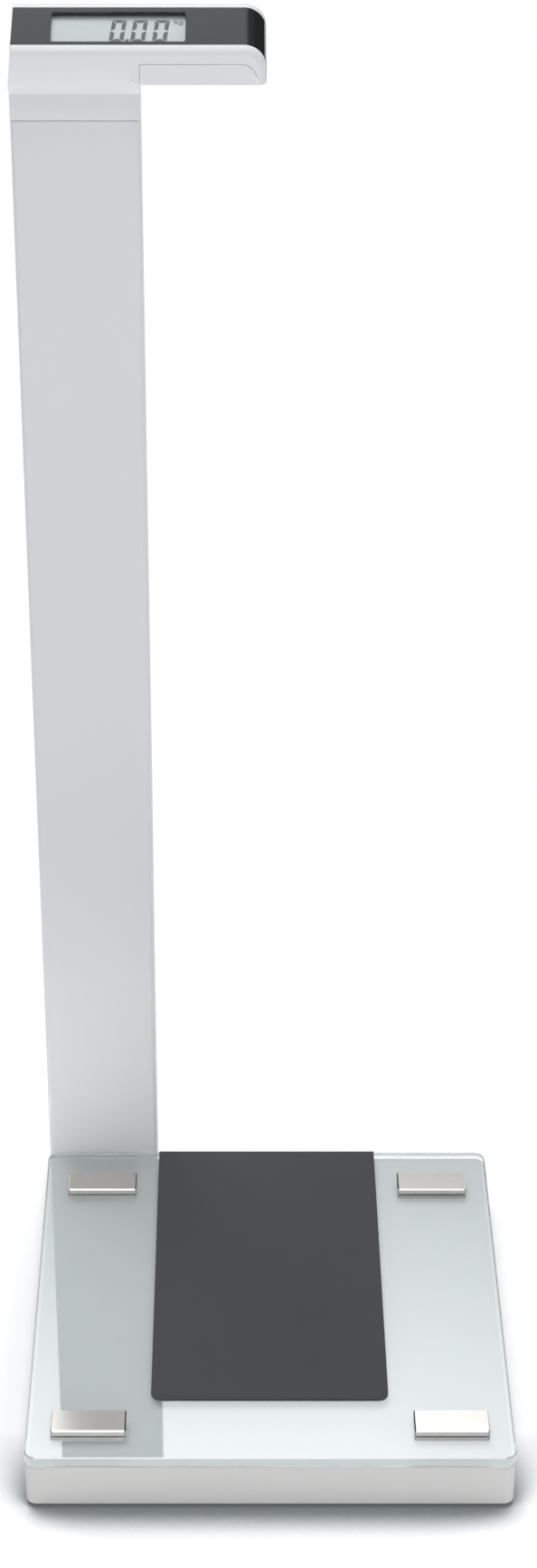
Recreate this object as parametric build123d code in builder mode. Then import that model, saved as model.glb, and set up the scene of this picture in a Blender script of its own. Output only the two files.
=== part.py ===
from build123d import *
import math
import os

os.makedirs("parts", exist_ok=True)

# Column scale with a glass platform. Millimetres, X to the user's right, Y away from the user, Z up.
# The user stands on the platform at -Y and reads the display head on top of the column at +Y.

# ---------------------------------------------------------------- driving dimensions: platform
glass_width = 305.0
glass_depth = 305.0
glass_thickness = 8.0
glass_corner_radius = 7.0
glass_edge_chamfer = 0.7
backing_thickness = 1.2
backing_inset = 3.0
tray_height = 29.0
tray_inset = 0.4
tray_wall = 2.5
tray_deck = 2.5
tray_edge_radius = 1.2
floor_gap = 4.0
mat_width = 150.0
mat_length = 252.0
mat_thickness = 1.0
mat_corner_radius = 6.0

# clamp plates that hold the glass down over the four load cells
clamp_length = 47.0
clamp_width = 19.6
clamp_height = 4.0
clamp_bevel = 0.9
clamp_corner_radius = 1.1
clamp_gasket = 0.5
gasket_inset = 0.4
clamp_to_side = 39.2
clamp_to_front = 28.9
clamp_to_back = 37.7
stud_spacing = 30.0
stud_radius = 2.4
nut_size = 4.5
nut_height = 4.0

# load cells, feet and the sheet that closes the tray from below
cell_size = 33.0
cell_thickness = 2.0
cell_height = 15.0
cell_screw_spacing = 26.0
cell_slot = 2.0
cell_tongue = 12.0
cell_window = 20.0
tongue_root = 3.0
post_radius = 3.4
foot_radius = 18.0
carrier_radius = 19.0
carrier_stub_radius = 5.0
foot_plug_radius = 14.8
foot_plug_height = 2.8
foot_height = 4.5
foot_chamfer = 1.0
carrier_height = 6.5
carrier_round = 1.5
cover_sheet = 1.0
cover_recess = 1.0
cover_boss_radius = 4.0
cover_boss_margin = 2.0
inner_screw_share = 0.42
carrier_opening_gap = 2.0

# ---------------------------------------------------------------- driving dimensions: column
column_width = 75.0
column_depth = 30.0
column_rise = 746.0
column_gap = 2.0
column_inset = 0.8
column_corner_radius = 2.5
column_wall = 2.0
flange_thickness = 2.5
casting_height = 64.0
casting_wall = 3.5
casting_corner_radius = 1.0
arm_width = 13.0
arm_thickness = 6.0
arm_reach = 62.0
arm_clearance = 1.4
arm_end_margin = 9.0
arm_wall_margin = 8.0
arm_level = 7.0
arm_boss_radius = 5.5

# ---------------------------------------------------------------- driving dimensions: display head
wing_length = 73.0
head_overhang = 14.5
head_tilt = 20.0
display_room = 10.2
head_end_radius = 13.0
front_rim_radius = 6.0
back_rim_radius = 5.2
inner_rim_radius = 1.5
left_draft = 2.6
collar_rise = 16.2
flare_rise = 22.0
flare_step = 6.5
wing_rise = 26.4
blend_length = 5.0
seam_gap = 0.4
spigot_drop = 32.0
spigot_top = 14.0
spigot_wall = 2.4
spigot_back_wall = 6.0

panel_thickness = 2.5
panel_ledge = 2.0
panel_front_margin = 4.0
panel_back_margin = 8.7
panel_side_rise = 30.5
window_length = 76.6
window_margins = 7.14
window_from_left = 25.2
window_shift = -0.6
window_radius = 1.6
pane_thickness = 1.0
pane_lap = 2.0
pane_side_lap = 1.5
lcd_gap = 0.4
lcd_thickness = 2.8
lcd_length = 80.0
lcd_end_room = 1.2
lcd_side_room = 0.4
lcd_lap = 1.45
frame_length = 88.0
frame_lap = 1.7
frame_height = 3.1
frame_gap = 0.2
frame_shelf = 4.0
frame_post_radius = 2.0
board_gap = 1.4
board_thickness = 1.6
board_length = 58.0
board_boss_gap = 1.0
board_lap = 0.7

cover_left = 0.6
cover_to_end = 5.2
cover_rise = 12.1
cover_corner_radius = 9.5
cover_lap = 7.0
cover_wall = 2.0
cell_diameter = 10.5
cell_length = 44.5
cell_gap = 1.6
battery_wall = 1.2
cell_end_room = 8.5
cell_side_room = 2.4
cell_floor_gap = 0.1
cell_pip_radius = 1.9
cell_pip_height = 1.0
cell_edge_round = 0.5
tray_side_gap = 0.4
tray_front_gap = 1.0
tray_edge_round = 0.8
contact_thickness = 0.5
contact_size = 8.0
contact_tip_width = 3.2
contact_tip_height = 5.0
spring_height = 6.0
spring_half_width = 4.0
spring_tip = 1.0
grip_count = 4
grip_from_end = 12.0
grip_pitch = 3.0
grip_width = 1.4
grip_length = 14.0
grip_depth = 0.6

boss_radius = 3.4
boss_length = 16.0
boss_from_left = 8.5
boss_rise = 41.0
boss_end_wall = 2.0
boss_wall_lap = 0.3
boss_cover_gap = 0.5
rib_share = 0.6

knob_travel = 3.0
knob_length = 3.6
knob_width = 3.4
knob_corner_radius = 0.6
knob_inset = 0.2
knob_lift = 0.1
pocket_corner_radius = 1.0
pocket_length = 12.0
pocket_width = 5.2
pocket_depth = 1.2
switch_from_left = 40.0
switch_rise = 40.0
switch_length = 13.0
switch_width = 6.0
switch_depth = 4.5
stem_length = 3.0
stem_width = 2.4
stem_room = 2.0
stem_reach = 1.5

# ---------------------------------------------------------------- driving dimensions: screws, boards, wires
m3_radius = 1.5
m5_radius = 2.5
socket_share = 0.5
socket_depth_share = 0.55
screw_head_radius = 2.8
screw_head_height = 1.3
sunk_head_room = 0.1
cover_screw_head = 1.0
cover_screw_length = 9.0
cell_screw_head = 1.4
cell_screw_length = 10.0
arm_bolt_radius = 4.5
arm_bolt_head = 2.8
arm_bolt_length = 18.0
casting_screw_side = 24.0
casting_screw_rises = (22.0, 50.0)
casting_screw_length = 4.0
spigot_screw_drop = 16.0
spigot_screw_length = 5.5
neck_screw_rise = 7.5
boss_screw_length = 17.0
board_screw_radius = 1.0
board_screw_head_radius = 1.9
board_screw_head = 1.2
board_screw_length = 3.6
junction_length = 46.0
junction_width = 34.0
junction_drop = 10.0
junction_from_foot = 34.0
standoff_radius = 3.0
standoff_margin = 4.0
standoff_screw_head = 2.6
standoff_screw_length = 6.0
cable_drop = 6.5
wire_drop = 2.6
wire_bend = 3.6
wire_side = 7.5
wire_lead = 10.0
cable_bend = 12.0
junction_plug_length = 14.0
junction_plug_depth = 9.0
junction_plug_wall = 0.6
plug_corner_radius = 1.0
plug_length = 12.0
plug_width = 8.0
plug_depth = 5.0
strip_length = 36.0
strip_width = 2.4
strip_margin = 3.0
strip_from_edge = 7.0

# ---------------------------------------------------------------- clearances
thread_clearance = 0.1
hole_clearance = 0.3
slide_clearance = 0.25
fit_clearance = 0.15
cable_clearance = 0.8
cable_radius = 2.25
wire_radius = 0.75

# ---------------------------------------------------------------- places worked out from the dimensions
total_depth = glass_depth + column_gap + column_depth
glass_front = -total_depth / 2
glass_back = glass_front + glass_depth
glass_middle = (glass_front + glass_back) / 2
tray_bottom = floor_gap
tray_top = tray_bottom + tray_height
deck_under = tray_top - tray_deck
glass_bottom = tray_top + backing_thickness
glass_top = glass_bottom + glass_thickness

tray_width = glass_width - 2 * tray_inset
tray_depth = glass_depth - 2 * tray_inset
tray_inner_back = glass_back - tray_inset - tray_wall

column_left = -glass_width / 2 + column_inset
column_right = column_left + column_width
column_middle = (column_left + column_right) / 2
column_front = glass_back + column_gap
column_back = column_front + column_depth
column_center = (column_front + column_back) / 2
column_bottom = tray_bottom + flange_thickness
seam = glass_top + column_rise

clamp_x = glass_width / 2 - clamp_to_side
corners = {
    "front_left": (-clamp_x, glass_front + clamp_to_front),
    "front_right": (clamp_x, glass_front + clamp_to_front),
    "back_left": (-clamp_x, glass_back - clamp_to_back),
    "back_right": (clamp_x, glass_back - clamp_to_back),
}
stud_places = [(x + side * stud_spacing / 2, y) for x, y in corners.values() for side in (-1, 1)]
half_cell_screw = cell_screw_spacing / 2
cell_screw_places = [
    (x + dx, y + dy)
    for x, y in corners.values()
    for dx in (-half_cell_screw, half_cell_screw)
    for dy in (-half_cell_screw, half_cell_screw)
]
cell_top = cell_height + cell_thickness

cover_level = tray_bottom + cover_recess
cover_reach_x = tray_width / 2 - tray_wall - cover_boss_radius - cover_boss_margin
cover_reach_y = tray_depth / 2 - tray_wall - cover_boss_radius - cover_boss_margin
inner_x = cover_reach_x * inner_screw_share
inner_y = cover_reach_y * inner_screw_share
cover_screw_places = [
    (-cover_reach_x, glass_middle),
    (cover_reach_x, glass_middle),
    (0, glass_middle - cover_reach_y),
    (0, glass_middle + cover_reach_y),
    (-inner_x, glass_middle - inner_y),
    (inner_x, glass_middle - inner_y),
    (-inner_x, glass_middle + inner_y),
    (inner_x, glass_middle + inner_y),
]

arm_top = arm_level + arm_thickness
arm_front = glass_back - arm_reach
arm_offset = carrier_radius + arm_clearance + arm_width / 2
arm_places = [-clamp_x - arm_offset, -clamp_x + arm_offset]
arm_bolt_rows = (arm_front + arm_end_margin, tray_inner_back - arm_wall_margin)
arm_bolt_places = [(x, y) for x in arm_places for y in arm_bolt_rows]


def screws(plane, places, direction, head_radius, head_height, shank_radius, shank_length):
    # heads stand on the plane towards direction times its normal, shanks run the other way
    with BuildPart() as group:
        with BuildSketch(plane):
            with Locations(*places):
                Circle(head_radius)
        extrude(amount=direction * head_height)
        with BuildSketch(plane):
            with Locations(*places):
                Circle(shank_radius)
        extrude(amount=-direction * shank_length)
        with BuildSketch(plane.offset(direction * head_height)):
            with Locations(*places):
                RegularPolygon(radius=head_radius * socket_share, side_count=6)
        extrude(amount=-direction * head_height * socket_depth_share, mode=Mode.SUBTRACT)
    return group.part


def save(part, name):
    part.label = name
    export_step(part, f"parts/{name}.step")


# ================================================================ platform

with BuildPart() as glass_platform:
    with BuildSketch(Plane.XY.offset(glass_bottom)):
        with Locations((0, glass_middle)):
            RectangleRounded(glass_width, glass_depth, glass_corner_radius)
    extrude(amount=glass_thickness)
    rims = glass_platform.faces().filter_by(Axis.Z).edges()
    chamfer(rims, glass_edge_chamfer)
    with BuildSketch(Plane.XY.offset(glass_bottom)):
        with Locations(*stud_places):
            Circle(stud_radius + hole_clearance)
    extrude(amount=glass_thickness, mode=Mode.SUBTRACT)
save(glass_platform.part, "glass_platform")

with BuildPart() as glass_backing:
    with BuildSketch(Plane.XY.offset(tray_top)):
        with Locations((0, glass_middle)):
            RectangleRounded(
                glass_width - 2 * backing_inset,
                glass_depth - 2 * backing_inset,
                glass_corner_radius - backing_inset,
            )
        with Locations(*stud_places):
            Circle(stud_radius + 2 * hole_clearance, mode=Mode.SUBTRACT)
    extrude(amount=backing_thickness)
save(glass_backing.part, "glass_backing")

with BuildPart() as non_slip_mat:
    with BuildSketch(Plane.XY.offset(glass_top)) as mat_outline:
        with Locations((0, glass_back - glass_edge_chamfer - mat_length / 2)):
            Rectangle(mat_width, mat_length)
        front_corners = mat_outline.vertices().group_by(Axis.Y)[0]
        fillet(front_corners, mat_corner_radius)
    extrude(amount=mat_thickness)
save(non_slip_mat.part, "non_slip_mat")

for corner, place in corners.items():
    x, y = place
    with BuildPart() as clamp_plate:
        with BuildSketch(Plane.XY.offset(glass_top + clamp_gasket)):
            with Locations((x, y)):
                RectangleRounded(clamp_length, clamp_width, clamp_corner_radius)
        extrude(amount=clamp_height)
        top_edges = clamp_plate.faces().sort_by(Axis.Z)[-1].edges()
        chamfer(top_edges, clamp_bevel)
        with BuildSketch(Plane.XY.offset(glass_top + clamp_gasket)):
            with Locations((x - stud_spacing / 2, y), (x + stud_spacing / 2, y)):
                Circle(stud_radius)
        extrude(amount=deck_under - nut_height - glass_top - clamp_gasket)
    save(clamp_plate.part, f"clamp_plate_{corner}")

with BuildPart() as clamp_gaskets:
    with BuildSketch(Plane.XY.offset(glass_top)):
        with Locations(*corners.values()):
            RectangleRounded(
                clamp_length - 2 * gasket_inset,
                clamp_width - 2 * gasket_inset,
                clamp_corner_radius - gasket_inset,
            )
        with Locations(*stud_places):
            Circle(stud_radius + hole_clearance, mode=Mode.SUBTRACT)
    extrude(amount=clamp_gasket)
save(clamp_gaskets.part, "clamp_gaskets")

with BuildPart() as clamp_nuts:
    with BuildSketch(Plane.XY.offset(deck_under - nut_height)):
        with Locations(*stud_places):
            RegularPolygon(radius=nut_size, side_count=6)
            Circle(stud_radius + thread_clearance, mode=Mode.SUBTRACT)
    extrude(amount=nut_height)
save(clamp_nuts.part, "clamp_nuts")

# ---------------------------------------------------------------- tray under the glass
board_middle_y = corners["back_left"][1] - carrier_radius - junction_from_foot
junction_level = deck_under - junction_drop
standoff_x = junction_length / 2 - standoff_margin
standoff_y = junction_width / 2 - standoff_margin
standoff_places = [
    (column_middle + dx * standoff_x, board_middle_y + dy * standoff_y)
    for dx in (-1, 1)
    for dy in (-1, 1)
]
cable_level = deck_under - cable_drop

with BuildPart() as platform_tray:
    with BuildSketch(Plane.XY.offset(tray_bottom)):
        with Locations((0, glass_middle)):
            RectangleRounded(tray_width, tray_depth, glass_corner_radius - tray_inset)
    extrude(amount=tray_height)
    fillet(platform_tray.faces().sort_by(Axis.Z)[-1].edges(), tray_edge_radius)
    with BuildSketch(Plane.XY.offset(tray_bottom)):
        with Locations((0, glass_middle)):
            RectangleRounded(
                tray_width - 2 * tray_wall,
                tray_depth - 2 * tray_wall,
                glass_corner_radius - tray_inset - tray_wall,
            )
    extrude(amount=tray_height - tray_deck, mode=Mode.SUBTRACT)
    # posts that carry the load cells, bosses for the cover sheet, the arms and the junction board
    for places, radius, level in (
        (cell_screw_places, post_radius, cell_top),
        (cover_screw_places, cover_boss_radius, cover_level + cover_sheet),
        (arm_bolt_places, arm_boss_radius, arm_top),
        (standoff_places, standoff_radius, junction_level + board_thickness),
    ):
        with BuildSketch(Plane.XY.offset(level)):
            with Locations(*places):
                Circle(radius)
        extrude(amount=deck_under - level)
    for places, radius, level in (
        (cell_screw_places, m3_radius, cell_top),
        (cover_screw_places, m3_radius, cover_level + cover_sheet),
        (arm_bolt_places, m5_radius, arm_top),
        (standoff_places, m3_radius, junction_level + board_thickness),
    ):
        with BuildSketch(Plane.XY.offset(level)):
            with Locations(*places):
                Circle(radius + thread_clearance)
        extrude(amount=deck_under - level, mode=Mode.SUBTRACT)
    with BuildSketch(Plane.XY.offset(deck_under)):
        with Locations(*stud_places):
            Circle(stud_radius + hole_clearance)
    extrude(amount=tray_deck, mode=Mode.SUBTRACT)
    # ways through the back wall for the two arms and the cable
    with BuildSketch(Plane.XZ.offset(glass_corner_radius - tray_inner_back)):
        with Locations(*[(x, arm_level + arm_thickness / 2) for x in arm_places]):
            Rectangle(arm_width + 2 * hole_clearance, arm_thickness + 2 * hole_clearance)
        with Locations((column_middle, cable_level)):
            Circle(cable_radius + cable_clearance)
    extrude(amount=-(glass_corner_radius + tray_wall + tray_inset), mode=Mode.SUBTRACT)
save(platform_tray.part, "platform_tray")

with BuildPart() as base_cover:
    with BuildSketch(Plane.XY.offset(cover_level)):
        with Locations((0, glass_middle)):
            RectangleRounded(
                tray_width - 2 * tray_wall - 2 * hole_clearance,
                tray_depth - 2 * tray_wall - 2 * hole_clearance,
                glass_corner_radius - tray_inset - tray_wall,
            )
        with Locations(*corners.values()):
            Circle(carrier_radius + carrier_opening_gap, mode=Mode.SUBTRACT)
        with Locations(*cover_screw_places):
            Circle(m3_radius + hole_clearance, mode=Mode.SUBTRACT)
        with Locations(*arm_bolt_places):
            Circle(arm_boss_radius, mode=Mode.SUBTRACT)
    extrude(amount=cover_sheet)
save(base_cover.part, "base_cover")

cover_screw_part = screws(
    Plane.XY.offset(cover_level),
    cover_screw_places,
    -1,
    screw_head_radius,
    cover_screw_head,
    m3_radius,
    cover_screw_length,
)
save(cover_screw_part, "base_cover_screws")

# ---------------------------------------------------------------- load cells and feet
for corner, place in corners.items():
    x, y = place
    with BuildPart() as load_cell:
        with BuildSketch(Plane.XY.offset(cell_height)):
            with Locations((x, y)):
                RectangleRounded(cell_size, cell_size, cell_slot)
            # a slot on three sides leaves a tongue that bends under the load
            with Locations((x, y + cell_slot)):
                Rectangle(cell_tongue + 2 * cell_slot, cell_window, mode=Mode.SUBTRACT)
            with Locations((x, y)):
                Rectangle(cell_tongue, cell_tongue + 2 * tongue_root)
            with Locations((x, y - cell_tongue / 2 - tongue_root)):
                Rectangle(cell_tongue, 2 * tongue_root)
            with GridLocations(cell_screw_spacing, cell_screw_spacing, 2, 2):
                with Locations((x, y)):
                    Circle(m3_radius + hole_clearance, mode=Mode.SUBTRACT)
        extrude(amount=cell_thickness)
    save(load_cell.part, f"load_cell_{corner}")

    with BuildPart() as foot_carrier:
        with BuildSketch(Plane.XY.offset(foot_height)):
            with Locations((x, y)):
                Circle(carrier_radius)
        extrude(amount=carrier_height)
        fillet(foot_carrier.edges().group_by(Axis.Z)[-1], carrier_round)
        with BuildSketch(Plane.XY.offset(foot_height)):
            with Locations((x, y)):
                Circle(foot_plug_radius + fit_clearance)
        extrude(amount=foot_plug_height + fit_clearance, mode=Mode.SUBTRACT)
        with BuildSketch(Plane.XY.offset(foot_height + carrier_height)):
            with Locations((x, y)):
                Circle(carrier_stub_radius)
        extrude(amount=cell_height - foot_height - carrier_height)
    save(foot_carrier.part, f"foot_carrier_{corner}")

    with BuildPart() as rubber_foot:
        with BuildSketch(Plane.XY):
            with Locations((x, y)):
                Circle(foot_radius)
        extrude(amount=foot_height)
        chamfer(rubber_foot.edges().group_by(Axis.Z)[0], foot_chamfer)
        with BuildSketch(Plane.XY.offset(foot_height)):
            with Locations((x, y)):
                Circle(foot_plug_radius)
        extrude(amount=foot_plug_height)
    save(rubber_foot.part, f"rubber_foot_{corner}")

cell_screw_part = screws(
    Plane.XY.offset(cell_height),
    cell_screw_places,
    -1,
    screw_head_radius,
    cell_screw_head,
    m3_radius,
    cell_screw_length,
)
save(cell_screw_part, "load_cell_screws")

# ---------------------------------------------------------------- junction board, wires and signal cable
junction_top = junction_level + board_thickness
with BuildPart() as junction_board:
    with BuildSketch(Plane.XY.offset(junction_level)):
        with Locations((column_middle, board_middle_y)):
            RectangleRounded(junction_length, junction_width, standoff_margin / 2)
        with Locations(*standoff_places):
            Circle(m3_radius + hole_clearance, mode=Mode.SUBTRACT)
    extrude(amount=board_thickness)
save(junction_board.part, "junction_board")

junction_screw_part = screws(
    Plane.XY.offset(junction_level),
    standoff_places,
    -1,
    standoff_screw_head,
    cell_screw_head,
    m3_radius,
    standoff_screw_length,
)
save(junction_screw_part, "junction_board_screws")

plug_back = board_middle_y + junction_width / 2
with BuildPart() as junction_connector:
    with BuildSketch(Plane.XY.offset(junction_top)):
        with Locations((column_middle, plug_back - junction_plug_depth / 2)):
            RectangleRounded(junction_plug_length, junction_plug_depth, plug_corner_radius)
    extrude(amount=cable_level + cable_radius + junction_plug_wall - junction_top)
save(junction_connector.part, "junction_connector")

wire_level = deck_under - wire_drop
left_wire = -clamp_x - wire_side
right_wire = clamp_x - wire_side
back_start = corners["back_left"][1] - wire_lead
front_start = corners["front_left"][1] + wire_lead
left_ends = (board_middle_y + 1.0, board_middle_y - 12.0)
right_ends = (board_middle_y - 3.0, board_middle_y - 12.0)
right_drops = (column_middle + 15.0, column_middle + 8.0)
cross_back = corners["back_right"][1] - carrier_radius - 9.0
cross_front = board_middle_y - junction_width / 2 - 12.0
wire_routes = [
    [
        (left_wire, back_start, cell_top),
        (left_wire, back_start, wire_level),
        (left_wire, left_ends[0], wire_level),
        (left_wire, left_ends[0], junction_top),
    ],
    [
        (left_wire, front_start, cell_top),
        (left_wire, front_start, wire_level),
        (left_wire, left_ends[1], wire_level),
        (left_wire, left_ends[1], junction_top),
    ],
    [
        (right_wire, back_start, cell_top),
        (right_wire, back_start, wire_level),
        (right_wire, cross_back, wire_level),
        (right_drops[0], cross_back, wire_level),
        (right_drops[0], right_ends[0], wire_level),
        (right_drops[0], right_ends[0], junction_top),
    ],
    [
        (right_wire, front_start, cell_top),
        (right_wire, front_start, wire_level),
        (right_wire, cross_front, wire_level),
        (right_drops[1], cross_front, wire_level),
        (right_drops[1], right_ends[1], wire_level),
        (right_drops[1], right_ends[1], junction_top),
    ],
]
with BuildPart() as load_cell_wires:
    for route in wire_routes:
        with BuildLine() as wire_path:
            FilletPolyline(*route, radius=wire_bend)
        with BuildSketch(Plane(origin=route[0], z_dir=(0, 0, 1))):
            Circle(wire_radius)
        sweep(path=wire_path.line)
save(load_cell_wires.part, "load_cell_wires")

# ================================================================ column

with BuildPart() as column_foot:
    with BuildSketch(Plane.XY.offset(tray_bottom)):
        with Locations((column_middle, column_center)):
            RectangleRounded(column_width, column_depth, column_corner_radius)
    extrude(amount=flange_thickness)
    casting_width = column_width - 2 * column_wall - 2 * fit_clearance
    casting_depth = column_depth - 2 * column_wall - 2 * fit_clearance
    with BuildSketch(Plane.XY.offset(column_bottom)):
        with Locations((column_middle, column_center)):
            RectangleRounded(casting_width, casting_depth, casting_corner_radius)
            Rectangle(
                casting_width - 2 * casting_wall,
                casting_depth - 2 * casting_wall,
                mode=Mode.SUBTRACT,
            )
    extrude(amount=casting_height)
    # two arms that reach under the platform on either side of the foot
    arm_root = column_front + column_wall + fit_clearance + casting_wall / 2
    with BuildSketch(Plane.XY.offset(arm_level)):
        with Locations(*[(x, (arm_front + arm_root) / 2) for x in arm_places]):
            Rectangle(arm_width, arm_root - arm_front)
        with Locations(*arm_bolt_places):
            Circle(m5_radius + hole_clearance, mode=Mode.SUBTRACT)
    extrude(amount=arm_thickness)
    with BuildSketch(Plane.XZ.offset(-column_front)):
        with Locations((column_middle, cable_level)):
            Circle(cable_radius + cable_clearance)
    extrude(amount=-(column_wall + fit_clearance + casting_wall + 1), mode=Mode.SUBTRACT)
    casting_screw_places = [
        (column_middle + side, column_bottom + rise)
        for side in (-casting_screw_side, casting_screw_side)
        for rise in casting_screw_rises
    ]
    with BuildSketch(Plane.XZ.offset(-column_back)):
        with Locations(*casting_screw_places):
            Circle(m3_radius + thread_clearance)
    extrude(amount=column_wall + fit_clearance + casting_wall, mode=Mode.SUBTRACT)
save(column_foot.part, "column_foot")

arm_bolt_part = screws(
    Plane.XY.offset(arm_level),
    arm_bolt_places,
    -1,
    arm_bolt_radius,
    arm_bolt_head,
    m5_radius,
    arm_bolt_length,
)
save(arm_bolt_part, "arm_bolts")

spigot_screw_places = [
    (column_middle - casting_screw_side, seam - spigot_screw_drop),
    (column_middle + casting_screw_side, seam - spigot_screw_drop),
]
sunk_seat = screw_head_height + sunk_head_room
with BuildPart() as column_tube:
    with BuildSketch(Plane.XY.offset(column_bottom)):
        with Locations((column_middle, column_center)):
            RectangleRounded(column_width, column_depth, column_corner_radius)
            RectangleRounded(
                column_width - 2 * column_wall,
                column_depth - 2 * column_wall,
                column_corner_radius - column_wall + hole_clearance,
                mode=Mode.SUBTRACT,
            )
    extrude(amount=seam - column_bottom)
    # slots for the arms, open at the bottom, and the cable hole
    slot_height = arm_top + hole_clearance - column_bottom
    with BuildSketch(Plane.XZ.offset(-column_front)):
        with Locations(*[(x, column_bottom + slot_height / 2) for x in arm_places]):
            Rectangle(arm_width + 2 * hole_clearance, slot_height)
        with Locations((column_middle, cable_level)):
            Circle(cable_radius + cable_clearance)
    extrude(amount=-column_wall, mode=Mode.SUBTRACT)
    # screw holes in the back, counterbored so that the heads lie under the surface
    with BuildSketch(Plane.XZ.offset(-column_back)):
        with Locations(*casting_screw_places, *spigot_screw_places):
            Circle(m3_radius + hole_clearance)
    extrude(amount=column_wall, mode=Mode.SUBTRACT)
    with BuildSketch(Plane.XZ.offset(-column_back)):
        with Locations(*casting_screw_places, *spigot_screw_places):
            Circle(screw_head_radius + hole_clearance)
    extrude(amount=sunk_seat, mode=Mode.SUBTRACT)
save(column_tube.part, "column_tube")

head_seat = Plane.XZ.offset(-(column_back - sunk_seat))
column_screw_part = screws(
    head_seat,
    casting_screw_places,
    -1,
    screw_head_radius,
    screw_head_height,
    m3_radius,
    casting_screw_length,
)
save(column_screw_part, "column_foot_screws")
spigot_screw_part = screws(
    head_seat,
    spigot_screw_places,
    -1,
    screw_head_radius,
    screw_head_height,
    m3_radius,
    spigot_screw_length,
)
save(spigot_screw_part, "spigot_screws")

# ================================================================ display head
# The head is one block whose top slopes down towards the user: a neck over the column, and a wing
# that reaches to the right. The envelope is built twice, once for the outside and once inset.

battery_inner_length = cell_length + cell_end_room
battery_inner_width = 2 * cell_diameter + cell_gap + cell_side_room
cover_depth = battery_inner_width + cover_lap
head_front_rise = wing_rise + cell_diameter + display_room
head_left = column_left
head_right = column_right + wing_length
head_front = column_front - head_overhang
slope = math.tan(math.radians(head_tilt))
along = Vector(0, math.cos(math.radians(head_tilt)), math.sin(math.radians(head_tilt)))
front_top = seam + head_front_rise
crease = seam + collar_rise
flare_level = seam + flare_rise
wing_bottom = seam + wing_rise
flare_top = front_top - front_rim_radius
head_base = seam + seam_gap


def top_height(y):
    return front_top + (y - head_front) * slope


def head_outline(y, inset, top_inset, low):
    # front view of the head at depth y: drafted left side, flat top, rounded right end
    top = top_height(y) - top_inset / along.Y
    right = head_right - top_inset
    radius = head_end_radius - top_inset
    left = head_left + inset
    line = Polyline(
        (right, top - radius),
        (right, low),
        (left, low),
        (left, crease),
        (left + left_draft, top),
        (right - radius, top),
    )
    RadiusArc(line @ 1, line @ 0, radius)
    return line


def head_envelope(inset, top_inset, front_radius, back_radius):
    front = head_front + inset
    back = column_back - inset
    face = column_front + inset
    low = head_base
    high = top_height(column_back) + 5
    knee = (head_front + flare_step + inset, flare_level)
    swing = ((knee[0] - front) ** 2 + (flare_top - knee[1]) ** 2) / (2 * (knee[0] - front))
    shelf = wing_bottom + inset
    neck_at_shelf = front + swing - math.sqrt(swing**2 - (flare_top - shelf) ** 2)
    with BuildPart() as envelope:
        with BuildSketch(Plane.YZ.offset(head_left + inset)):
            with BuildLine():
                neck_side = Polyline((face, crease), (face, low), (back, low), (back, high), (front, high))
                Line(neck_side @ 1, (front, flare_top))
                TangentArc((front, flare_top), knee, tangent=(0, -1))
                Line(knee, neck_side @ 0)
            make_face()
        extrude(amount=column_width - 2 * inset)
        # the neck's sweep runs out into the flat front of the wing over a short length
        blend_start = column_right - inset - blend_length
        with BuildSketch(Plane.YZ.offset(blend_start)):
            with BuildLine():
                near_side = Polyline((neck_at_shelf, shelf), (back, shelf), (back, high), (front, high))
                Line(near_side @ 1, (front, flare_top))
                TangentArc((front, flare_top), (neck_at_shelf, shelf), tangent=(0, -1))
            make_face()
        with BuildSketch(Plane.YZ.offset(column_right - inset)):
            with BuildLine():
                far_side = Polyline((front, shelf), (back, shelf), (back, high), (front, high))
                Line(far_side @ 1, (front, flare_top))
                Line((front, flare_top), far_side @ 0)
            make_face()
        loft()
        with BuildSketch(Plane.YZ.offset(column_right - inset)):
            with Locations(((front + back) / 2, (shelf + high) / 2)):
                Rectangle(back - front, high - shelf)
        extrude(amount=head_right - column_right)
        start = head_front - 10
        with BuildSketch(Plane.XZ.offset(-start)):
            with BuildLine():
                head_outline(start, inset, top_inset, low - 60)
            make_face()
        extrude(amount=(total_depth - start) / along.Y, dir=along, mode=Mode.INTERSECT)
        right = head_right - top_inset
        front_rim = envelope.edges().filter_by(
            lambda e: abs(e.center().Y - front) < 0.01
            and e.center().X > head_left + 8
            and (e.center().Z > flare_top + 1 or e.center().X > right - 0.01)
        )
        fillet(front_rim, front_radius)
        back_rim = envelope.edges().filter_by(
            lambda e: abs(e.center().Y - back) < 0.01
            and e.center().X > head_left + 8
            and e.center().Z > shelf + 4
        )
        fillet(back_rim, back_radius)
    return envelope.part


outer_head = head_envelope(0, 0, front_rim_radius, back_rim_radius)
inner_head = head_envelope(column_wall, panel_thickness + panel_ledge, inner_rim_radius, inner_rim_radius)

# ---------------------------------------------------------------- places in the head
split_back = column_back - panel_back_margin
panel_front = head_front + panel_front_margin
panel_middle = (panel_front + split_back) / 2
panel_plane = Plane(
    origin=(0, panel_middle, top_height(panel_middle)),
    x_dir=(1, 0, 0),
    z_dir=(0, -along.Z, along.Y),
)
window_width = (split_back - panel_front) / along.Y - window_margins
lcd_width = window_width + 2 * lcd_lap
frame_width = lcd_width + 2 * frame_lap
board_width = lcd_width + 2 * board_lap
window_middle = head_left + window_from_left + window_length / 2
window_place = (window_middle, window_shift)
pane_bottom = -panel_thickness - pane_thickness
lcd_top = pane_bottom - lcd_gap
lcd_bottom = lcd_top - lcd_thickness
frame_top = -panel_thickness - panel_ledge - frame_gap
frame_bottom = frame_top - frame_height
board_top = frame_bottom - board_gap
board_bottom = board_top - board_thickness

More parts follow.
